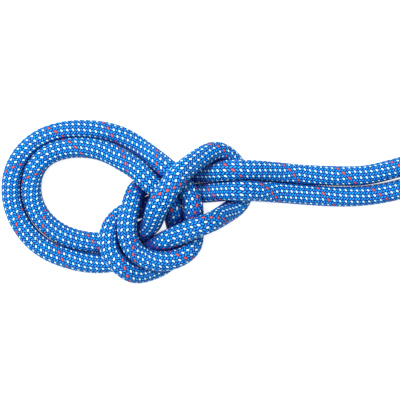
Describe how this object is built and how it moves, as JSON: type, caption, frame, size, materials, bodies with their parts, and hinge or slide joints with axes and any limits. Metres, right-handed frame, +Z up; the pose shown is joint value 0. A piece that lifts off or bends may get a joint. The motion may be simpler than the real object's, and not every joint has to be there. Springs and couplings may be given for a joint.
{
  "type": "dynamic climbing rope",
  "caption": "Kernmantle dynamic rope with a braided sheath, its end tied in a retraced double bowline with a large eye, and the rest of its length put away in a strapped hank.",
  "frame": {"origin": "centre of the bounding box's base, on the surface that the rope lies on", "axes": "+X from the knot's eye along the rope to the hank, +Y across, +Z up from the surface"},
  "size_m": [0.4737, 0.1766, 0.1594],
  "materials": {
    "rope_sheath": "braided nylon, satin, blue with white flecks and one coral tracer",
    "core_yarn": "twisted white nylon yarn, satin",
    "marker_tape": "plain plastic film",
    "end_sleeve": "shrunk plastic sleeve, satin",
    "melted_tip": "melted and hardened nylon",
    "strap_webbing": "woven strap, matte"
  },
  "bodies": {
    "root": {"standing_part": "rope_sheath", "nip_turn_inner": "rope_sheath", "eye_strand_inner": "rope_sheath", "collar_bight": "rope_sheath", "eye_strand_outer": "rope_sheath", "nip_turn_outer": "rope_sheath", "tail": "rope_sheath", "rope_hank": "rope_sheath", "far_end": "rope_sheath", "tail_end_sheath": "rope_sheath", "core_strand_01": "core_yarn", "core_strand_02": "core_yarn", "core_strand_03": "core_yarn", "core_strand_04": "core_yarn", "core_strand_05": "core_yarn", "core_strand_06": "core_yarn", "core_strand_07": "core_yarn", "core_strand_08": "core_yarn", "core_strand_09": "core_yarn", "core_strand_10": "core_yarn", "core_strand_11": "core_yarn", "marker_tape": "marker_tape", "tail_end_sleeve": "end_sleeve", "far_end_sleeve": "end_sleeve", "tail_end_tip": "melted_tip", "far_end_tip": "melted_tip", "hank_strap_1": "strap_webbing", "hank_strap_2": "strap_webbing"}
  },
  "joints": []
}
